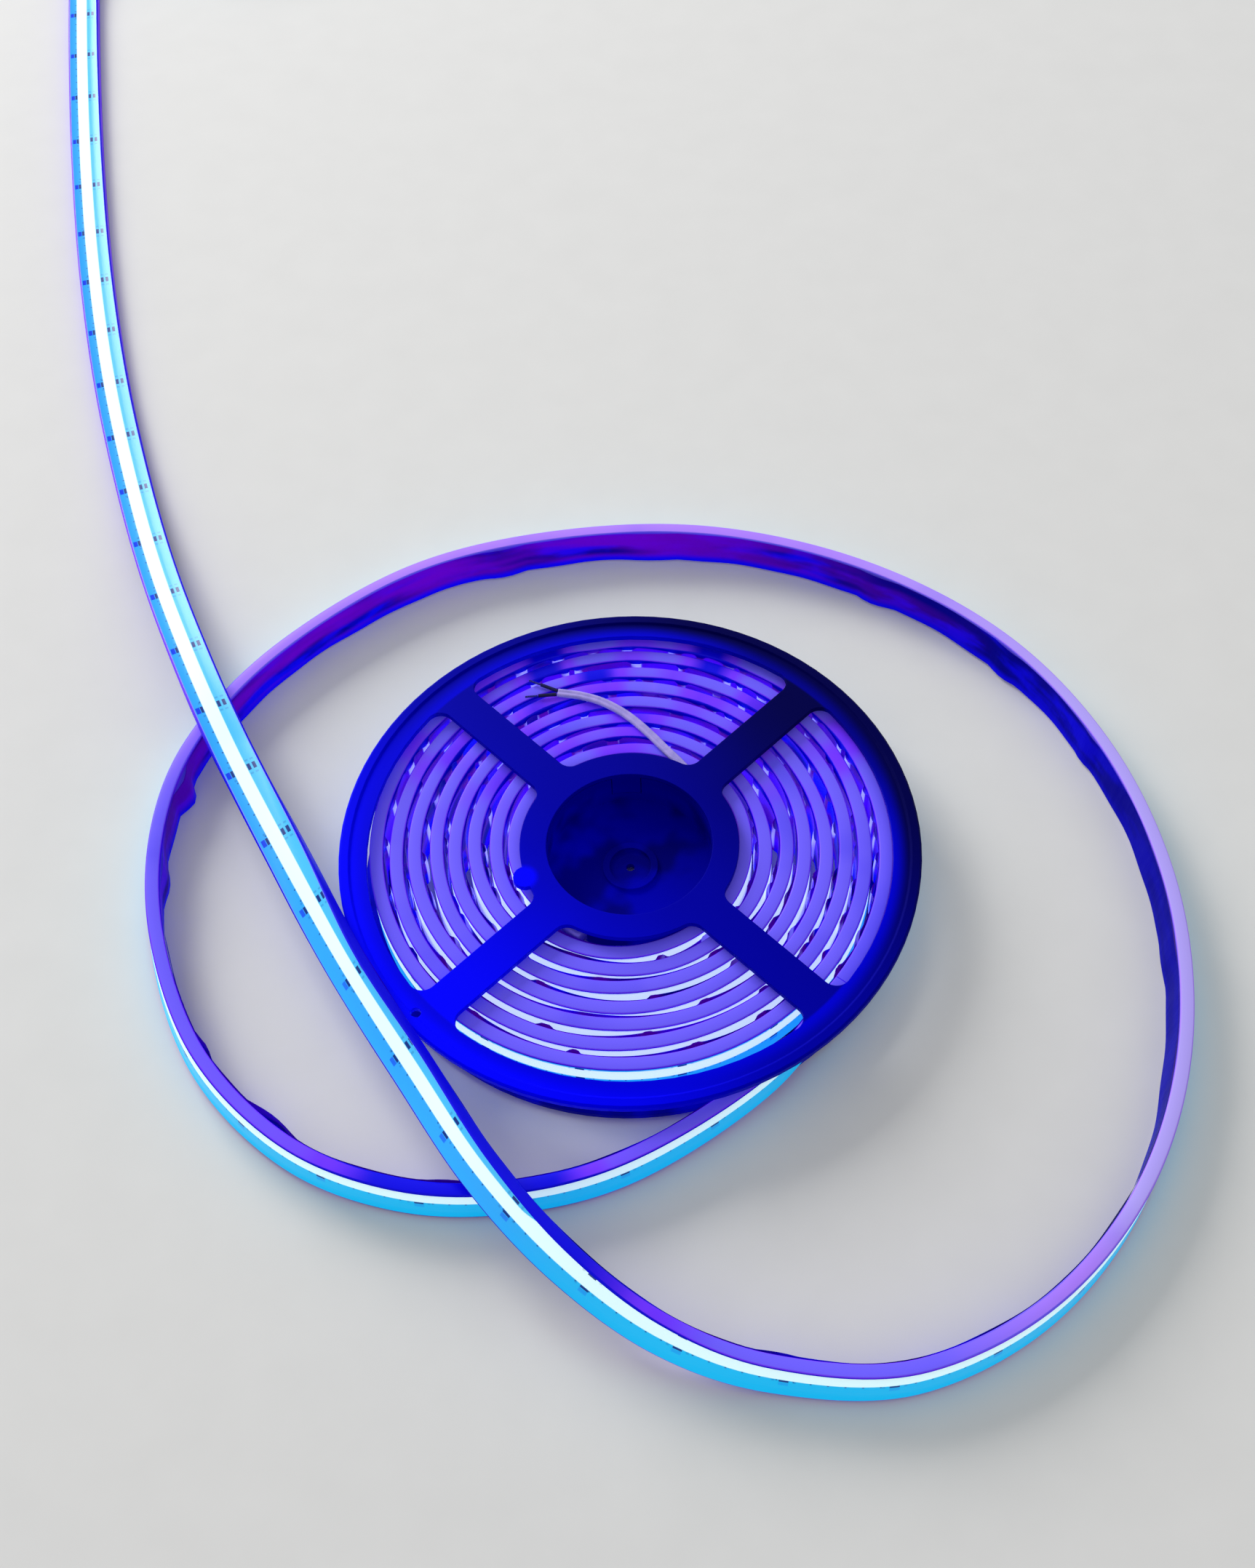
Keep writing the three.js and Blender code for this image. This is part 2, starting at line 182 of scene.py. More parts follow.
def winding(spacing):
    length = TURN * WIND_TURNS * (WIND_INNER + WIND_PITCH * WIND_TURNS / 2)
    share = np.linspace(0, 1, int(length / spacing) + 1)
    angle = WIND_START - share * WIND_TURNS * TURN
    radius = WIND_INNER + WIND_PITCH * WIND_TURNS * share + wander(share)
    centre = np.stack([
        WIND_CENTRE[0] + radius * np.cos(angle),
        WIND_CENTRE[1] + radius * np.sin(angle),
        np.full_like(angle, STRIP_BOTTOM + STRIP_WIDTH / 2)], axis=1)
    travel = np.stack([np.sin(angle), -np.cos(angle), np.zeros_like(angle)], axis=1)
    return Frames(centre, travel, np.zeros_like(angle))


wound = winding(RING_SPACING)
leaves = wound.centre[-1] + GAP * wound.travel[-1]
STRIP_ROUTE = [
    [leaves[0], leaves[1], STRIP_BOTTOM, 0],
    [36.5, -77.8, 2.1, 2],
    [-1.8, -100.9, 0.3, 6],
    [-36.0, -109.3, 0, 4],
    [-70.4, -107.1, 0, 6],
    [-103.5, -92.1, 0, 8],
    [-131.4, -61.5, 0, 9],
    [-147.0, -20.1, 0, 8],
    [-149.5, 20.0, 0, 4],
    [-139.5, 55.0, 0, 0],
    [-113.0, 89.9, 0, -2],
    [-69.2, 120.4, 0, -5],
    [-18.9, 132.7, 0, -4],
    [34.3, 130.8, 0, -5],
    [85.5, 111.6, 0, -5],
    [127.3, 77.5, 0, -7],
    [153.7, 32.0, 0, -6],
    [164.3, -20.0, 0, -6],
    [159.1, -71.4, 0, -6],
    [140.4, -115.9, 0, -1],
    [109.3, -149.3, 0, 4],
    [70.5, -166.6, 0, 8],
    [31.8, -164.2, 0.5, 13],
    [2.0, -153.2, 4.5, 22],
    [-23.8, -133.9, 11.2, 31],
    [-45.8, -107.6, 14.7, 42],
    [-65.6, -74.1, 13.8, 50],
    [-86.2, -38.7, 14.2, 47],
    [-106.5, 2.9, 14.6, 72],
    [-127.1, 45.8, 14.7, 90],
    [-142.6, 82.8, 12.5, 90],
    [-158.9, 127.0, 6.5, 90],
    [-173.4, 174.2, 1.5, 90],
    [-187.5, 229.0, 0, 90],
    [-199.7, 289.5, 0, 90],
    [-210.0, 354.0, 0, 90],
    [-219.0, 422.0, 0, 90],
    [-226.0, 485.0, 0, 84],
    [-228.5, 524.0, 0, 36],
]
for i in range(COIL_POINTS + 1):
    turn = COIL_TURNS * i / COIL_POINTS
    angle = math.pi - turn * TURN
    radius = COIL_RADIUS - COIL_PITCH * turn
    STRIP_ROUTE.append([
        COIL_CENTRE[0] + radius * math.cos(angle), COIL_CENTRE[1] + radius * math.sin(angle), 0, 0])

free = follow(STRIP_ROUTE, STRIP_WIDTH, STRIP_THICK, RING_SPACING, first=wound.length)

inward = -wound.travel[0]
CAP_REACH = GAP + CAP_LENGTH + GAP
LEAD_MID = STRIP_BOTTOM + STRIP_WIDTH / 2 - LEAD_WIDTH / 2
OVER_TURNS = STRIP_TOP + GAP
inner_start = wound.centre[0] + CAP_REACH * inward
lead_leaves = inner_start + LEAD_WIDTH * inward
INNER_ROUTE = [
    [inner_start[0], inner_start[1], LEAD_MID, 0],
    [lead_leaves[0], lead_leaves[1], LEAD_MID, 0],
    [-5.6, -31.6, LEAD_MID, 0],
    [4.0, -31.0, LEAD_MID, 0],
    [15.4, -26.7, LEAD_MID, 0],
    [25.6, -17.0, LEAD_MID, 0],
    [30.2, -3.0, LEAD_MID, 0],
    [28.9, 10.6, LEAD_MID + 1.6, 10],
    [25.0, 19.0, 12.6, 60],
    [21.0, 25.4, OVER_TURNS, 90],
    [17.5, 31.0, OVER_TURNS, 90],
    [13.2, 36.6, OVER_TURNS, 90],
    [8.2, 43.3, OVER_TURNS, 90],
    [1.7, 50.7, OVER_TURNS, 90],
    [-5.7, 56.5, OVER_TURNS, 90],
    [-13.4, 59.9, OVER_TURNS, 90],
    [-20.9, 61.6, OVER_TURNS, 90],
]

outer_start = free.centre[-1] + CAP_REACH * free.travel[-1]
outer_leaves = outer_start + LEAD_WIDTH * free.travel[-1]
OUTER_LOW = STRIP_WIDTH / 2 - LEAD_WIDTH / 2
OUTER_TURNS = [[2.6, 52.5], [0, 50.0], [0, 48.0], [0, 46.0], [0, 44.0], [0, 42.0], [0, 40.0]]
OUTER_STEP = math.radians(24)
outer_angle = math.atan2(outer_leaves[1] - COIL_CENTRE[1], outer_leaves[0] - COIL_CENTRE[0])
OUTER_ROUTE = [
    [outer_start[0], outer_start[1], OUTER_LOW, 0],
    [outer_leaves[0], outer_leaves[1], OUTER_LOW, 0],
]
for i, (low, radius) in enumerate(OUTER_TURNS):
    angle = outer_angle - (i + 1) * OUTER_STEP
    OUTER_ROUTE.append([
        COIL_CENTRE[0] + radius * math.cos(angle), COIL_CENTRE[1] + radius * math.sin(angle),
        low, 60 if i == 0 else 90])

inner = follow(INNER_ROUTE, LEAD_WIDTH, LEAD_THICK, LEAD_SPACING)
outer = follow(OUTER_ROUTE, LEAD_WIDTH, LEAD_THICK, LEAD_SPACING)

# How far from the reel's axis the inner lead reaches, below the strip's upper edge
low_lead = inner.centre[inner.centre[:, 2] < STRIP_TOP]
LEAD_REACH = np.hypot(low_lead[:, 0], low_lead[:, 1]).max() + LEAD_WIDTH / 2


# Materials

def linear(red, green, blue):
    """A display colour from 0 to 255 as a shader colour."""
    part = lambda c: c / 12.92 if c <= 0.04045 else ((c + 0.055) / 1.055) ** 2.4
    return (part(red / 255), part(green / 255), part(blue / 255), 1.0)


LAVENDER = linear(104, 90, 242)
ORCHID = linear(164, 120, 240)
LAVENDER_PALE = linear(170, 155, 240)
LAVENDER_VIOLET = linear(112, 50, 252)
SIDE_BLUE = linear(4, 0, 218)
RIM_BLUE = linear(120, 140, 255)
CYAN_LEFT = linear(44, 166, 250)
CYAN_RIGHT = linear(70, 190, 250)
CYAN_STANDING = linear(0, 194, 255)
LINE_WHITE = linear(216, 246, 252)
GAP_PAINTED_WHITE_GLOW = linear(208, 232, 255)
GAP_PAINTED_LAVENDER_GLOW = linear(150, 146, 255)
PAD_BLUE = linear(0, 44, 128)
PAD_BRIGHT = linear(0, 60, 235)
LINER_BLUE = linear(10, 2, 226)
LINER_DARK = linear(2, 0, 132)
LINER_PURPLE = linear(98, 0, 186)
TENT_PURPLE = linear(74, 0, 146)
TENT_PAINTED_GLINT = linear(152, 146, 252)
# Reel blues: painted light on one side, the plain tone, painted shade on the other, a painted light ring, the
# well's mottle in painted shade, and a painted highlight on the ear
REEL_PAINTED_LIT = linear(0, 0, 254)
REEL_MIDDLE = linear(0, 0, 156)
REEL_PAINTED_SHADE = linear(0, 0, 66)
REEL_PAINTED_LIGHT_RING = linear(0, 0, 214)
WELL_BLUE = linear(0, 0, 150)
WELL_PAINTED_SHADE = linear(0, 0, 104)
EAR_PAINTED_HIGHLIGHT = linear(0, 0, 255)
BLUE_SHEEN = (0.02, 0.02, 1.0, 1.0)
LEAD_COLOUR = linear(168, 154, 226)
CORE_COLOUR = linear(10, 10, 92)
TIP_COLOUR = linear(60, 60, 150)
FLOOR_COLOUR = linear(213, 213, 212)
FLOOR_SECOND = linear(218, 218, 217)


class Shader:
    """A material's node tree, with the few operations that its pattern needs."""

    def __init__(self, name):
        self.material = bpy.data.materials.new(name)
        self.material.use_nodes = True
        self.nodes = self.material.node_tree.nodes
        self.links = self.material.node_tree.links
        self.surface = self.nodes["Principled BSDF"]

    def put(self, socket, value):
        if isinstance(value, bpy.types.NodeSocket):
            self.links.new(value, socket)
        else:
            socket.default_value = value

    def set(self, name, value):
        self.put(self.surface.inputs[name], value)

    def math(self, operation, *values):
        node = self.nodes.new("ShaderNodeMath")
        node.operation = operation
        for socket, value in zip(node.inputs, values):
            self.put(socket, value)
        return node.outputs[0]

    def rise(self, value, low, high):
        """0 below low, 1 above high, smooth between them; falls where low is above high."""
        node = self.nodes.new("ShaderNodeMapRange")
        node.interpolation_type = "SMOOTHSTEP"
        for name, given in zip(("Value", "From Min", "From Max"), (value, low, high)):
            self.put(node.inputs[name], given)
        return node.outputs[0]

    def mix(self, share, first, second):
        node = self.nodes.new("ShaderNodeMix")
        node.data_type = "RGBA"
        self.put(node.inputs["Factor"], share)
        self.put(node.inputs[6], first)
        self.put(node.inputs[7], second)
        return node.outputs[2]

    def along_across(self):
        """Millimetres along and across the strip, from its UV map."""
        uv = self.nodes.new("ShaderNodeUVMap")
        uv.uv_map = "strip"
        along, across, _ = self.split(uv.outputs[0])
        return along, across

    def split(self, vector):
        node = self.nodes.new("ShaderNodeSeparateXYZ")
        self.links.new(vector, node.inputs[0])
        return node.outputs

    def attribute(self, name):
        node = self.nodes.new("ShaderNodeAttribute")
        node.attribute_name = name
        return node.outputs["Fac"]

    def position(self):
        """The place on the object, in metres."""
        coordinates = self.nodes.new("ShaderNodeTexCoord")
        return coordinates.outputs["Object"]

    def box(self, value, centre, half, soft=0.12):
        """1 within half of centre, 0 beyond it."""
        reach = self.math("ABSOLUTE", self.math("SUBTRACT", value, centre))
        return self.rise(reach, half + soft, half - soft)

    def stretched(self, along, across, along_scale, across_scale):
        node = self.nodes.new("ShaderNodeCombineXYZ")
        self.put(node.inputs[0], self.math("MULTIPLY", along, along_scale))
        self.put(node.inputs[1], self.math("MULTIPLY", across, across_scale))
        return node.outputs[0]

    def noise(self, vector, scale, detail=3.0):
        node = self.nodes.new("ShaderNodeTexNoise")
        self.put(node.inputs["Vector"], vector)
        node.inputs["Scale"].default_value = scale
        node.inputs["Detail"].default_value = detail
        return node.outputs["Fac"]

    def bump(self, height, strength, distance):
        node = self.nodes.new("ShaderNodeBump")
        node.inputs["Strength"].default_value = strength
        node.inputs["Distance"].default_value = distance
        self.put(node.inputs["Height"], height)
        self.put(self.surface.inputs["Normal"], node.outputs[0])

    def finish(self, roughness, specular=0.25, coat=0.0):
        self.set("Roughness", roughness)
        self.set("Specular IOR Level", specular)
        self.set("Coat Weight", coat)
        self.set("Coat Roughness", 0.2)

    def glow(self, colour, strength):
        self.set("Emission Color", colour)
        self.set("Emission Strength", strength)


# An even painted glow on the sleeve's walls and back, which lifts their shade
WALL_PAINTED_GLOW = 0.14


def sleeve_material():
    """Silicone walls and back of the sleeve: lavender, paler or bluer along it, with drawn streaks and an
    even painted glow.
    """
    shader = Shader("sleeve_wall")
    along, across = shader.along_across()
    cloud = shader.noise(shader.position(), 11.0)
    drawn = shader.noise(shader.stretched(along, across, 0.02, 1.6), 1.0)
    tone = shader.math("ADD", shader.attribute("tone"), shader.math(
        "MULTIPLY", shader.math("SUBTRACT", cloud, 0.5), 0.5))
    colour = shader.mix(shader.rise(tone, 0.1, 0.6), LAVENDER, ORCHID)
    colour = shader.mix(shader.rise(tone, 0.6, 1.0), colour, LAVENDER_PALE)
    colour = shader.mix(shader.rise(tone, -0.1, -0.5), colour, LAVENDER_VIOLET)
    colour = shader.mix(shader.rise(tone, -0.5, -0.95), colour, SIDE_BLUE)
    shade = shader.math("MULTIPLY", shader.rise(drawn, 0.5, 0.72), 0.3)
    colour = shader.mix(shade, colour, SIDE_BLUE)
    shader.set("Base Color", colour)
    shader.finish(shader.rise(drawn, -0.6, 1.8), 0.1, 0.03)
    shader.glow(colour, WALL_PAINTED_GLOW)
    shader.bump(drawn, 0.3, 0.0002)
    return shader.material


# Emission strengths of the light face: its own, painted glow where it stands, its line's own, and painted
# glow on the wound turns
FACE_GLOW = 0.06
STANDING_PAINTED_GLOW = 0.26
LINE_GLOW = 0.16
GAP_PAINTED_GLOW = 0.42
# The light face's pattern in mm: along the strip, and across it as (centre, half width) from the line
CUT_SPACING = 29.3
CUT_PHASE = 23.7
DOT_SPACING = 4.6
DOT_RADIUS = 0.42
DOT_OFF_LINE = 0.35
LINE_HALF = 2.2
LINE_SOFT = 0.2
PAD_HALF_LENGTH = 1.35
PADS = [(2.95, 0.55), (4.75, 0.55), (-2.75, 0.45)]
PAD_OUTER = (-4.1, 0.7)
GHOST = (2.9, 0.4)
GHOST_SHARE = 0.3
RIM_FROM = 5.5
LINE_FLAT = -0.6
LINE_STANDING = 4.4
LAST_TURN = 560.0
LAST_TURN_FADE = 40.0
GAP_FADE = 30.0


def face_material():
    """Light face: a white phosphor line between cyan bands, with cut marks, pads and dots beside it, drawn
    white and lavender on the inner turns as painted glow between them.
    """
    shader = Shader("light_face")
    along, across = shader.along_across()
    line_at = shader.attribute("line")
    standing = shader.rise(line_at, LINE_FLAT, LINE_FLAT + LINE_STANDING)
    offset = shader.math("SUBTRACT", across, line_at)
    to_the_top = shader.math("MULTIPLY", shader.rise(standing, 0.7, 0.95), STRIP_WIDTH)
    upper = shader.math("SUBTRACT", offset, to_the_top)
    line = shader.math("MULTIPLY", shader.rise(offset, -LINE_HALF - LINE_SOFT, -LINE_HALF + LINE_SOFT),
                       shader.rise(upper, LINE_HALF + LINE_SOFT, LINE_HALF - LINE_SOFT))
    cyan = shader.mix(shader.rise(offset, -1.0, 1.0), CYAN_LEFT, CYAN_RIGHT)
    cyan = shader.mix(shader.rise(standing, 0.6, 1.0), cyan, CYAN_STANDING)
    colour = shader.mix(line, cyan, LINE_WHITE)

    period = shader.math("DIVIDE", shader.math("ADD", along, CUT_PHASE), CUT_SPACING)
    from_cut = shader.math("MULTIPLY", CUT_SPACING, shader.math(
        "SUBTRACT", shader.math("FRACT", period), 0.5))
    at_pads = shader.box(from_cut, 0.0, PAD_HALF_LENGTH)
    faded = shader.math("SUBTRACT", 1.0, shader.math("MULTIPLY", standing, 0.75))
    bright = shader.math("MULTIPLY", shader.math("MULTIPLY", shader.box(offset, *PAD_OUTER), at_pads), faded)
    colour = shader.mix(bright, colour, PAD_BRIGHT)
    marks = 0.0
    for centre, half in PADS:
        pad = shader.math("MULTIPLY", shader.box(offset, centre, half), at_pads)
        ghosts = shader.math("MULTIPLY", shader.box(offset, centre, half), shader.math(
            "MULTIPLY", shader.box(shader.math("ABSOLUTE", from_cut), *GHOST), GHOST_SHARE))
        marks = shader.math("MAXIMUM", marks, shader.math("MAXIMUM", pad, ghosts))

    beads = shader.math("SUBTRACT", shader.math("FRACT", shader.math("DIVIDE", along, DOT_SPACING)), 0.5)
    bead_along = shader.math("MULTIPLY", beads, DOT_SPACING)
    bead_across = shader.math("ADD", offset, LINE_HALF + DOT_OFF_LINE)
    distance = shader.math("SQRT", shader.math("ADD", shader.math("POWER", bead_along, 2.0),
                                               shader.math("POWER", bead_across, 2.0)))
    dots = shader.math("MULTIPLY", shader.rise(distance, DOT_RADIUS, DOT_RADIUS - 0.2), 0.7)
    colour = shader.mix(shader.math("MAXIMUM", marks, dots), colour, PAD_BLUE)

    inside = shader.rise(along, wound.length, wound.length - GAP_FADE)
    # Painted light: before the last turn the face is drawn white above and lavender below, as the glow seen
    # between the turns
    before_last = wound.length - LAST_TURN
    between = shader.rise(along, before_last + LAST_TURN_FADE, before_last)
    painted_gap_glow = shader.mix(shader.rise(across, -5.0, 1.0), GAP_PAINTED_LAVENDER_GLOW, GAP_PAINTED_WHITE_GLOW)
    colour = shader.mix(between, colour, painted_gap_glow)
    rim_from = shader.math("ADD", RIM_FROM, shader.math("MULTIPLY", standing, 0.4))
    rim = shader.rise(shader.math("SUBTRACT", shader.math("ABSOLUTE", across), rim_from), 0.0, 0.3)
    colour = shader.mix(rim, colour, RIM_BLUE)
    shader.set("Base Color", colour)
    shader.finish(0.3, 0.2, 0.08)
    lit = shader.math("MULTIPLY", line, shader.math("SUBTRACT", 1.0, rim))
    # The face's own glow, with painted glow added where it stands and along the winding to lift their shade
    strength = FACE_GLOW
    for share, more in ((standing, STANDING_PAINTED_GLOW), (lit, LINE_GLOW), (inside, GAP_PAINTED_GLOW)):
        strength = shader.math("ADD", strength, shader.math("MULTIPLY", share, more))
    shader.glow(colour, strength)
    shader.bump(shader.noise(shader.stretched(along, across, 0.3, 1.0), 1.0), 0.15, 0.0002)
    return shader.material


# Where tents begin to take painted glints, in mm behind the reel's axis, and the distance over which all may
# take them
PAINTED_GLINT_FROM = -45.0
PAINTED_GLINT_OVER = 20.0
# Lift in mm between which the wound strip's film turns into the colour of a tent
TENTED = (0.85, 1.1)
# Painted glow of the liner, and the more of it on tents and blooms
LINER_PAINTED_GLOW = 0.12
BLOOM_PAINTED_GLOW = 0.34


def liner_material():
    """Release liner behind the strip: deep blue film with purple blooms and painted shade where its tone is
    low, its tents purple or with painted glints, and a painted glow.
    """
    shader = Shader("release_liner")
    along, across = shader.along_across()
    patches = shader.noise(shader.stretched(along, across, 0.04, 0.12), 1.0, 3.0)
    blooms = shader.noise(shader.stretched(along, across, 0.012, 0.1), 1.0, 2.0)
    creases = shader.noise(shader.stretched(along, across, 0.25, 0.06), 1.0)
    colour = shader.mix(shader.rise(patches, 0.4, 0.62), LINER_DARK, LINER_BLUE)
    bloom = shader.math("MULTIPLY", shader.rise(blooms, 0.36, 0.56), shader.attribute("tone"))
    colour = shader.mix(bloom, colour, LINER_PURPLE)
    colour = shader.mix(shader.rise(across, -2.5, -5.5), colour, LINER_BLUE)
    shaded = shader.math("MULTIPLY", shader.rise(shader.attribute("tone"), 0.0, -0.6), 0.85)
    colour = shader.mix(shaded, colour, LINER_DARK)
    _, y, _ = shader.split(shader.position())
    # Painted glints: pale highlights on the tents toward the back
    glints = shader.noise(shader.stretched(along, across, 0.13, 0.05), 1.0, 1.0)
    pale = shader.math("MULTIPLY", shader.rise(glints, 0.44, 0.56),
                       shader.rise(y, PAINTED_GLINT_FROM * MM, (PAINTED_GLINT_FROM + PAINTED_GLINT_OVER) * MM))
    tented = shader.rise(shader.attribute("line"), *TENTED)
    colour = shader.mix(tented, colour, shader.mix(pale, TENT_PURPLE, TENT_PAINTED_GLINT))
    shader.set("Base Color", colour)
    shader.finish(0.4, 0.015)
    # Painted light: the liner glows, more on its tents and blooms
    shader.glow(colour, shader.math("ADD", LINER_PAINTED_GLOW, shader.math("MULTIPLY", BLOOM_PAINTED_GLOW, shader.math(
        "MAXIMUM", tented, shader.attribute("tone")))))
    shader.bump(creases, 0.5, 0.0006)
    return shader.material


# The reel's side of painted light, its ear, its well of painted shade, its painted light ring and edges in
# mm, and its painted glow strengths
PAINTED_LIGHT_SIDE = math.radians(217)
EAR_ANGLE = math.radians(-162)
EAR_REACH = 34.5
EAR_RADIUS = 3.8
WELL_PAINTED_GLOW = 0.5
REEL_PAINTED_GLOW = 0.06
WELL_FROM = 16.0
WELL_BELOW = 10.0
PAINTED_LIGHT_RING_WIDTH = 4.8
EDGE_RADIUS = 0.35


def reel_material():
    """Reel plastic: blue, drawn bright by painted light on one side and near black by painted shade on the
    other, with a painted light ring, painted shade and glow in the well, a painted ear highlight and a fine
    moulded grain.
    """
    shader = Shader("reel_plastic")
    position = shader.position()
    x, y, z = shader.split(position)
    # Painted light and shade: the plastic goes bright blue toward the painted light side and near black away
    # from it
    toward = shader.math("ADD", shader.math("MULTIPLY", x, math.cos(PAINTED_LIGHT_SIDE)),
                         shader.math("MULTIPLY", y, math.sin(PAINTED_LIGHT_SIDE)))
    cloud = shader.noise(position, 18.0)
    toward = shader.math("ADD", toward, shader.math("MULTIPLY", shader.math("SUBTRACT", cloud, 0.5), 0.02))
    colour = shader.mix(shader.rise(toward, 0.0, 0.085), REEL_MIDDLE, REEL_PAINTED_LIT)
    colour = shader.mix(shader.rise(toward, 0.01, -0.075), colour, REEL_PAINTED_SHADE)

    # Painted light: a brighter ring on the rim's inner edge beside the windows, weaker on the dark side
    reach = shader.math("SQRT", shader.math(
        "ADD", shader.math("POWER", x, 2.0), shader.math("POWER", y, 2.0)))
    painted_light_ring = shader.math("MULTIPLY", shader.rise(reach, (WINDOW_RADIUS + PAINTED_LIGHT_RING_WIDTH) * MM, WINDOW_RADIUS * MM),
                       shader.rise(reach, (WINDOW_RADIUS - 1) * MM, WINDOW_RADIUS * MM))
    painted_light_ring = shader.math("MULTIPLY", painted_light_ring, shader.math(
        "ADD", 0.25, shader.math("MULTIPLY", 0.6, shader.rise(toward, -0.085, -0.05))))
    colour = shader.mix(painted_light_ring, colour, REEL_PAINTED_LIGHT_RING)
    # Painted shade: inside the well the plastic is drawn a darker mottled blue
    patches = shader.noise(position, 55.0, 2.0)
    well = shader.mix(shader.rise(patches, 0.42, 0.6), WELL_PAINTED_SHADE, WELL_BLUE)
    deep = shader.rise(z, WELL_FROM * MM, WELL_BELOW * MM)
    colour = shader.mix(deep, colour, well)
    # Painted highlight: the ear is drawn pure bright blue
    from_ear = shader.math("SQRT", shader.math(
        "ADD", shader.math("POWER", shader.math("SUBTRACT", x, EAR_REACH * MM * math.cos(EAR_ANGLE)), 2.0),
        shader.math("POWER", shader.math("SUBTRACT", y, EAR_REACH * MM * math.sin(EAR_ANGLE)), 2.0)))
    colour = shader.mix(shader.rise(from_ear, 1.4 * EAR_RADIUS * MM, 0.7 * EAR_RADIUS * MM), colour, EAR_PAINTED_HIGHLIGHT)
    shader.set("Base Color", colour)
    shader.finish(shader.rise(cloud, -1.2, 2.0), 0.08)
    shader.set("Specular Tint", BLUE_SHEEN)
    # Painted light: the whole reel glows faintly, and the well glows more on the bright side
    painted_light_in_well = shader.math("MULTIPLY", deep, shader.rise(toward, -0.02, 0.02))
    shader.glow(colour, shader.math("ADD", REEL_PAINTED_GLOW, shader.math("MULTIPLY", painted_light_in_well, WELL_PAINTED_GLOW)))
    grain = shader.noise(position, 900.0)
    bevel = shader.nodes.new("ShaderNodeBevel")
    bevel.samples = 4
    bevel.inputs["Radius"].default_value = EDGE_RADIUS * MM
    bump = shader.nodes.new("ShaderNodeBump")
    bump.inputs["Strength"].default_value = 0.12
    bump.inputs["Distance"].default_value = 0.0001
    shader.put(bump.inputs["Height"], grain)
    shader.put(bump.inputs["Normal"], bevel.outputs[0])
    shader.put(shader.surface.inputs["Normal"], bump.outputs[0])
    return shader.material


def plain_material(name, colour, second, scale, roughness, metallic=0.0, grain=0.2):
    """A small part's plastic or metal: two close tones in a fine mottle, with a matching bump."""
    shader = Shader(name)
    mottle = shader.noise(shader.position(), scale)
    shader.set("Base Color", shader.mix(shader.rise(mottle, 0.35, 0.65), colour, second))
    shader.finish(shader.math("ADD", roughness, shader.math("MULTIPLY", mottle, 0.15)), 0.2)
    shader.set("Metallic", metallic)
    shader.bump(mottle, grain, 0.0001)
    return shader.material


WALL, FACE, LINER = range(3)
strip_materials = [sleeve_material(), face_material(), liner_material()]
reel_plastic = reel_material()
cap_silicone = plain_material("cap_silicone", linear(140, 124, 245), LAVENDER, 400, 0.4)
lead_sheath = plain_material("lead_sheath", LEAD_COLOUR, linear(150, 140, 214), 300, 0.4)
core_jacket = plain_material("core_jacket", CORE_COLOUR, linear(10, 10, 60), 500, 0.4)
tinned_tip = plain_material("tinned_tip", TIP_COLOUR, linear(30, 30, 110), 2500, 0.3, 0.6, 0.6)


# Swept meshes

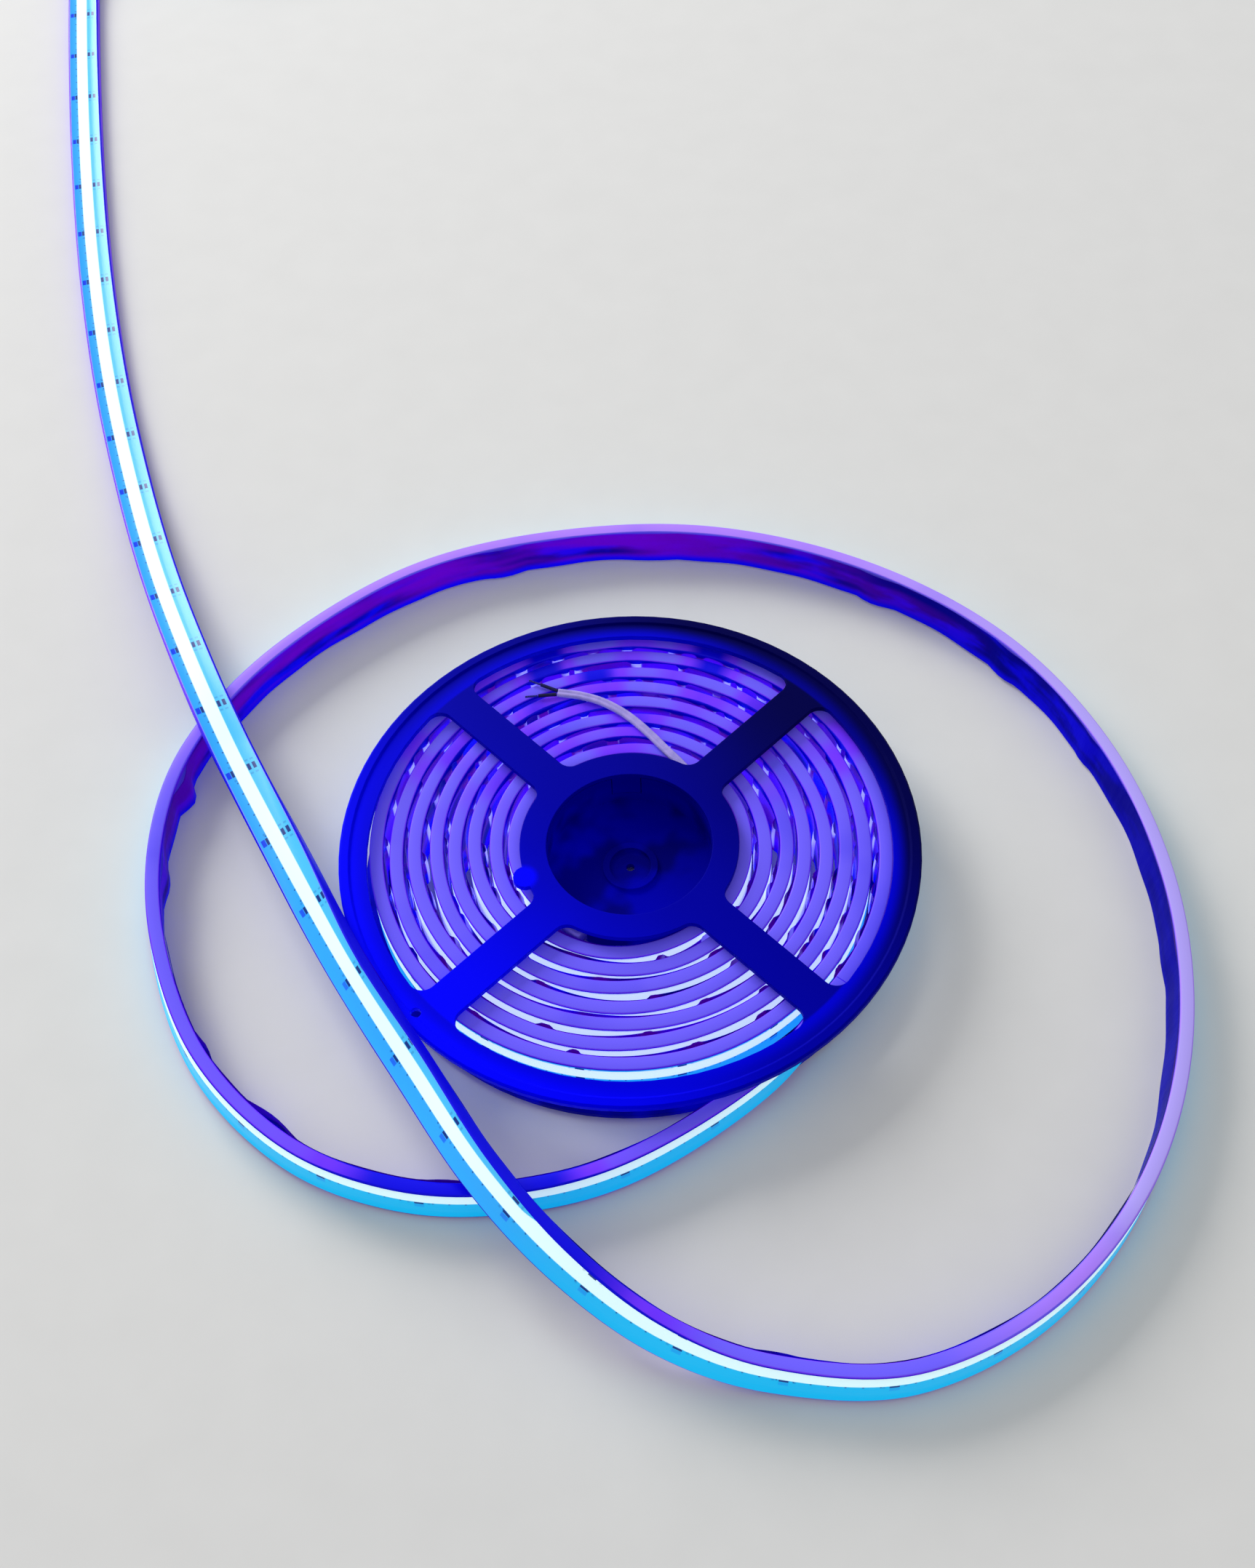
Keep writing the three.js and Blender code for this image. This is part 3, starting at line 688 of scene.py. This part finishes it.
class Soup:
    """Vertices, quads, UVs and materials of swept shapes, gathered into one mesh."""

    def __init__(self):
        self.points = []
        self.faces = []
        self.uvs = []
        self.kinds = []
        self.values = {"line": [], "tone": []}
        self.count = 0

    def sweep(self, frames, outline, kinds, shift=None, line=0.0, tone=0.0, closed=True):
        """Sweep an outline of (out, across) points in mm; kinds gives each side's material.

        line and tone are one number, or one for each station, or one for each point.
        """
        outline = np.array(outline, float)
        out = outline[None, :, 0] + (0 if shift is None else shift)
        over = np.broadcast_to(outline[None, :, 1], (len(frames.centre), len(outline)))
        out = np.broadcast_to(out, over.shape)
        rings = (frames.centre[:, None, :] + frames.normal[:, None, :] * out[:, :, None]
                 + frames.across[:, None, :] * over[:, :, None])
        rings[:, :, 2] = np.maximum(rings[:, :, 2], 0)
        stations, sides = over.shape
        self.points.append(rings.reshape(-1, 3))
        for name, value in (("line", line), ("tone", tone)):
            value = np.atleast_1d(value)
            value = value if value.ndim == 2 else value[:, None]
            self.values[name].append(np.broadcast_to(value, (stations, sides)).ravel())
        number = np.arange(stations * sides).reshape(stations, sides) + self.count
        last = sides if closed else sides - 1
        for side in range(last):
            after = (side + 1) % sides
            quad = np.stack([number[:-1, side], number[:-1, after], number[1:, after], number[1:, side]], 1)
            self.faces.extend(quad.tolist())
            low = frames.along[:-1]
            high = frames.along[1:]
            v = np.full(stations - 1, outline[side, 1])
            w = np.full(stations - 1, outline[after, 1])
            uv = np.stack([np.stack([low, v], 1), np.stack([low, w], 1),
                           np.stack([high, w], 1), np.stack([high, v], 1)], 1)
            self.uvs.append(uv.reshape(-1, 2))
            self.kinds.extend([kinds[side]] * (stations - 1))
        if closed:
            for ring, station in ((number[0][::-1], 0), (number[-1], -1)):
                order = outline[::-1] if station == 0 else outline
                self.faces.append(ring.tolist())
                self.uvs.append(np.stack([np.full(sides, frames.along[station]), order[:, 1]], 1))
                self.kinds.append(kinds[0])
        self.count += stations * sides

    def build(self, name, materials, smooth_angle=40):
        mesh = bpy.data.meshes.new(name)
        mesh.from_pydata((np.concatenate(self.points) * MM).tolist(), [], self.faces)
        for material in materials:
            mesh.materials.append(material)
        mesh.polygons.foreach_set("material_index", np.array(self.kinds, dtype=np.int32))
        layer = mesh.uv_layers.new(name="strip")
        layer.data.foreach_set("uv", np.concatenate(self.uvs).astype(np.float32).ravel())
        for key, values in self.values.items():
            attribute = mesh.attributes.new(key, "FLOAT", "POINT")
            attribute.data.foreach_set("value", np.concatenate(values).astype(np.float32))
        mesh.shade_smooth()
        mesh.set_sharp_from_angle(angle=math.radians(smooth_angle))
        piece = bpy.data.objects.new(name, mesh)
        bpy.context.scene.collection.objects.link(piece)
        return piece


def rounded(width, thick, corner, per_corner=3):
    """A rounded rectangle's outline, anticlockwise in (out, across)."""
    points = []
    for start, (sign_out, sign_over) in enumerate([(1, -1), (1, 1), (-1, 1), (-1, -1)]):
        for step in range(per_corner + 1):
            angle = math.radians(-90 + 90 * start + 90 * step / per_corner)
            points.append((sign_out * (thick / 2 - corner) + corner * math.cos(angle),
                           sign_over * (width / 2 - corner) + corner * math.sin(angle)))
    return points


SLEEVE_CORNER = 0.6
FACE_SINK = 0.12
FACE_FROM = 4
BACK_FROM = 18
BACK_STEP = (STRIP_WIDTH / 2 - SLEEVE_CORNER) / 2


def sleeve_outline():
    """The sleeve's section: a face sunk a little between two rims, round corners, a flat back in four.

    The face goes in after the first corner's points, and the back's after the third corner's.
    """
    thick = STRIP_THICK / 2
    points = rounded(STRIP_WIDTH, STRIP_THICK, SLEEVE_CORNER)
    kinds = [WALL] * len(points)
    face = [(thick, -5.7), (thick - FACE_SINK, -5.5), (thick - FACE_SINK * 0.4, -2.5),
            (thick - FACE_SINK * 0.4, 2.5), (thick - FACE_SINK, 5.5), (thick, 5.7)]
    points[FACE_FROM:FACE_FROM] = face
    kinds[FACE_FROM:FACE_FROM] = [FACE] * len(face)
    kinds[FACE_FROM - 1] = FACE
    back = [(-thick, BACK_STEP), (-thick, 0.0), (-thick, -BACK_STEP)]
    points[BACK_FROM:BACK_FROM] = back
    kinds[BACK_FROM:BACK_FROM] = [WALL] * len(back)
    return points, kinds


# Where the free strip's liner has come off the back: route number, half length and height in mm
BULGES = [(3.6, 9, 1.6), (5.2, 12, 3.4), (6.0, 6, 1.8), (7.6, 9, 1.6), (8.5, 7, 3.0), (11.6, 10, 1.5),
          (12.6, 14, 1.0), (14.1, 9, 1.6), (15.1, 8, 1.4), (15.9, 7, 1.0), (17.4, 12, 0.8), (22.0, 9, 1.4)]
# Tone of the sleeve's walls along the free strip: route number, then -1 or less deep blue, 1 or more pale
TONES = [(0, -0.1), (2.2, -0.25), (2.9, -1.1), (4.1, -1.0), (4.8, -0.3), (5.6, -0.15), (7, -0.05), (9, 0.3),
         (11, 0.6), (13, 0.6), (15, 0.9), (17, 1.1), (19, 1.0), (20, 0.5), (21, 0.15), (22.5, -0.2),
         (23.5, -0.75), (25, -1.2), (28, -1.2), (30, -0.6), (38, -0.4)]
# Tone of the free strip's liner: route number, then -0.6 dark to 1 with purple blooms; below 0 it paints
# shade, above 0 painted glow
BLOOMS = [(0, 0.3), (8, 0.4), (10, 1.0), (12.5, 0.9), (14, 0.45), (15, 0.0), (16.3, -0.45), (17, -0.6),
          (19, -0.6), (21, 0.1), (38, 0.3)]

# The liner in mm: its gap to the back, half its width, and its usual lift on the free strip, with ripples
# as (height, length)
LINER_OFF = 0.12
LINER_HALF = 6.15
LINER_COLUMNS = 7
LINER_STANDS = 0.3
RIPPLES = [(0.2, 9.0), (0.15, 4.1)]
# Share by which the film lifts less at the upper edge of a free stretch, and at both edges of any
UPPER_LESS = 0.3
EDGES_LESS = 0.15

# Tents of the wound strip's liner in mm: the first one's place, steps between them, half a tent's length,
# the room kept to what lies inside, and the height that an even spiral leaves them
TENT_FIRST = 6.0
TENT_STEPS = (5.0, 20.0)
TENT_STEPS_FRONT = (15.0, 42.0)
TENT_HALF = (1.8, 3.8)
TENT_CLEAR = 0.12
TENT_TALLEST = WIND_PITCH - STRIP_THICK - LINER_OFF - TENT_CLEAR
# Shares of that height for a tent and for the slack film beside it, and the steepness of a tent's sides
TENT_HEIGHT = (0.75, 1.0)
SLACK = 0.75
TENT_STEEP = 1.8
TENT_SEED = 11


def free_liner(frames):
    """How far the free strip's liner stands off the back at each station."""
    lift = LINER_STANDS
    for height, length in RIPPLES:
        lift = lift + height * np.sin(frames.along / length)
    for number, half, height in BULGES:
        middle = np.interp(number, frames.number, frames.along)
        lift = np.maximum(lift, height * np.clip(1 - ((frames.along - middle) / half) ** 2, 0, 1) ** 1.5)
    return lift


def wound_liner(frames):
    """The wound strip's liner tents between the turns, seldom in front, clear of what lies inside it."""
    generator = np.random.default_rng(TENT_SEED)
    lift = np.zeros_like(frames.along)
    middle = TENT_FIRST
    while middle < frames.length:
        x, y, _ = frames.centre[np.searchsorted(frames.along, middle)]
        half = generator.uniform(*TENT_HALF)
        tent = np.clip((1 - np.abs(frames.along - middle) / half) * TENT_STEEP, 0, 1)
        step = generator.uniform(*(TENT_STEPS_FRONT if y < -abs(x) else TENT_STEPS))
        share = (frames.along - middle) / step
        ramp = share if generator.random() < 0.5 else 1 - share
        slack = np.where((share > 0) & (share < 1), SLACK * ramp ** 2, 0)
        lift = np.maximum(lift, np.maximum(generator.uniform(*TENT_HEIGHT) * tent, slack))
        middle += step
    share = np.linspace(0, 1, len(frames.along))
    inside = share - 1 / WIND_TURNS
    between_turns = WIND_PITCH - STRIP_THICK + wander(share) - wander(inside)
    past_lead = np.hypot(frames.centre[:, 0], frames.centre[:, 1]) - STRIP_THICK / 2 - LEAD_REACH
    room = np.where(inside > 0, between_turns, past_lead) - LINER_OFF - TENT_CLEAR
    return np.clip(lift * TENT_TALLEST, 0, np.maximum(room, 0))


# Darker tone on the sleeve's two upper edges, by point of its outline
EDGE_TONES = {10: -0.9, 11: -0.8, 12: -0.35, 15: -0.35, 16: -0.8, 17: -0.9}


def line_height(frames):
    """Where the line's centre is across the face: low on the flat stretch, high where the strip stands."""
    return LINE_FLAT + LINE_STANDING * np.cos(frames.lean) ** 2


# The line between the wound turns, and where it moves to the height that it has on the free strip
WOUND_LINE = 2.3
LEAVES_FROM = 90.0
LEAVES_OVER = 60.0


def wound_line_height(frames):
    leaving = np.clip((frames.along - frames.length + LEAVES_FROM) / LEAVES_OVER, 0, 1)
    return WOUND_LINE + (LINE_FLAT + LINE_STANDING - WOUND_LINE) * leaving


# Tone of the wound strip's liner, and of its walls toward the back: mean, swing and the swing's lengths
WOUND_BLOOM = 0.5
BACK_TONE = -0.5
BACK_SWING = 0.7
SWING_LENGTHS = (6.1, 17.1)


def wound_tone(frames):
    toward_back = np.clip(frames.centre[:, 1] / frames.centre[:, 1].max(), 0, 1)
    short, long = SWING_LENGTHS
    swing = np.sin(frames.along / short) * np.sin(frames.along / long)
    return toward_back * (BACK_SWING * swing + BACK_TONE)


def add_strip(name, frames, line, tone, liner_frames, lift, tents, blooms, node):
    """A stretch of strip: its sleeve, and its liner, loose where tents is 0 and in tents where it is 1."""
    outline, kinds = sleeve_outline()
    soup = Soup()
    edges = np.array([EDGE_TONES.get(point, 0.0) for point in range(len(outline))])
    soup.sweep(frames, outline, kinds, line=line, tone=tone[:, None] + edges)
    across = np.linspace(-1, 1, LINER_COLUMNS)
    sheet = [(-STRIP_THICK / 2 - LINER_OFF, LINER_HALF * over) for over in across]
    less = UPPER_LESS * (1 - tents) * across + EDGES_LESS * across ** 2
    off = -lift[:, None] * (1 - less[None, :])
    film = [LINER] * LINER_COLUMNS
    soup.sweep(liner_frames, sheet, film, shift=off, line=lift * tents, tone=blooms, closed=False)
    piece = soup.build(name, strip_materials)
    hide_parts(node)
    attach(piece, "root")
    return piece


def lead_outline():
    """Two round cores side by side under one skin, with a waist between them."""
    lobe = LEAD_THICK / 2
    middle = LEAD_WIDTH / 2 - lobe
    waist = math.acos(-0.8)
    points = []
    for sign in (1, -1):
        for step in range(9):
            angle = waist * (1 - step / 4)
            points.append((sign * lobe * math.sin(-angle), sign * (middle + lobe * math.cos(angle))))
    return points


def add_lead(side, frames):
    soup = Soup()
    soup.sweep(frames, lead_outline(), [0] * 18)
    piece = soup.build(f"{side}_lead_sheath", [lead_sheath], 60)
    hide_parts(f"{side}_lead")
    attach(piece, "root")
    return piece


def add_cap(side, origin, heading):
    """A silicone plug with softened ends, the section of the sleeve."""
    soup = Soup()
    edge = 0.8
    steps = [(0.0, edge), (edge * 0.3, edge * 0.3), (edge, 0.0),
             (CAP_LENGTH - edge, 0.0), (CAP_LENGTH - edge * 0.3, edge * 0.3), (CAP_LENGTH, edge)]
    distances = np.array([distance for distance, _ in steps])
    shrink = np.array([inset for _, inset in steps])
    travel = np.repeat(heading[None, :], len(steps), axis=0)
    centre = origin + heading * (GAP + distances)[:, None]
    body = Frames(centre, travel, np.full(len(steps), 0.0))
    outline = np.array(rounded(STRIP_WIDTH, STRIP_THICK + 2 * CAP_PROUD, 0.9))
    shift = -np.sign(outline[None, :, 0]) * shrink[:, None] * 0.6
    soup.sweep(body, outline, [0] * len(outline), shift=shift)
    piece = soup.build(f"{side}_cap_plug", [cap_silicone], 50)
    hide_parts(f"{side}_end_cap")
    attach(piece, "root")
    return piece


def dress(solid, material):
    """Give a solid of the frame its own finish."""
    solid.data.materials.clear()
    solid.data.materials.append(material)


# Making

add_camera()

free_tone = np.interp(free.number, *zip(*TONES))
free_blooms = np.interp(free.number, *zip(*BLOOMS))
free_strip = add_strip(
    "free_strip_sleeve", free, line_height(free), free_tone, free, free_liner(free), 0.0, free_blooms,
    "free_strip")
outer_cap = add_cap("outer", free.centre[-1], free.travel[-1])

outer_lead = add_lead("outer", outer)

inner_lead = add_lead("inner", inner)

add_cap("inner", wound.centre[0], inward)
wound_fine = winding(LINER_SPACING)
add_strip(
    "wound_strip_sleeve", wound, wound_line_height(wound), wound_tone(wound), wound_fine,
    wound_liner(wound_fine), 1.0, WOUND_BLOOM, "wound_strip")
for side in ("inner", "outer"):
    for pole in ("positive", "negative"):
        dress(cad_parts[f"{side}_core_{pole}"], core_jacket)
        dress(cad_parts[f"{side}_tip_{pole}"], tinned_tip)
for node in ("reel_base", "reel_lid"):
    dress(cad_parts[node], reel_plastic)


# Floor and light

FLOOR_REACH = 3.0
FLOOR_DROP = 0.2
WORLD_STRENGTH = 0.58
KEY_AZIMUTH = math.radians(128)
KEY_ELEVATION = math.radians(27)
KEY_DISTANCE = 3.0
KEY_SIZE = 1.5
KEY_POWER = 84


def add_floor():
    mesh = bpy.data.meshes.new("floor")
    corners = [(-FLOOR_REACH, -FLOOR_REACH), (FLOOR_REACH, -FLOOR_REACH),
               (FLOOR_REACH, FLOOR_REACH), (-FLOOR_REACH, FLOOR_REACH)]
    mesh.from_pydata([(x, y, -FLOOR_DROP * MM) for x, y in corners], [], [(0, 1, 2, 3)])
    shader = Shader("floor_paper")
    mottle = shader.noise(shader.position(), 60.0)
    shader.set("Base Color", shader.mix(mottle, FLOOR_COLOUR, FLOOR_SECOND))
    shader.set("Roughness", 0.9)
    mesh.materials.append(shader.material)
    floor = bpy.data.objects.new("floor", mesh)
    bpy.context.scene.collection.objects.link(floor)


def add_key_light():
    data = bpy.data.lights.new("key", "AREA")
    data.size = KEY_SIZE
    data.energy = KEY_POWER
    light = bpy.data.objects.new("key", data)
    bpy.context.scene.collection.objects.link(light)
    level = KEY_DISTANCE * math.cos(KEY_ELEVATION)
    at = Vector((level * math.cos(KEY_AZIMUTH), level * math.sin(KEY_AZIMUTH),
                 KEY_DISTANCE * math.sin(KEY_ELEVATION)))
    light.location = at
    light.rotation_euler = (-at).to_track_quat("-Z", "Y").to_euler()


def add_world():
    world = bpy.data.worlds.new("studio")
    world.use_nodes = True
    background = world.node_tree.nodes["Background"]
    background.inputs["Color"].default_value = (1, 1, 1, 1)
    background.inputs["Strength"].default_value = WORLD_STRENGTH
    bpy.context.scene.world = world


add_floor()
add_world()
add_key_light()
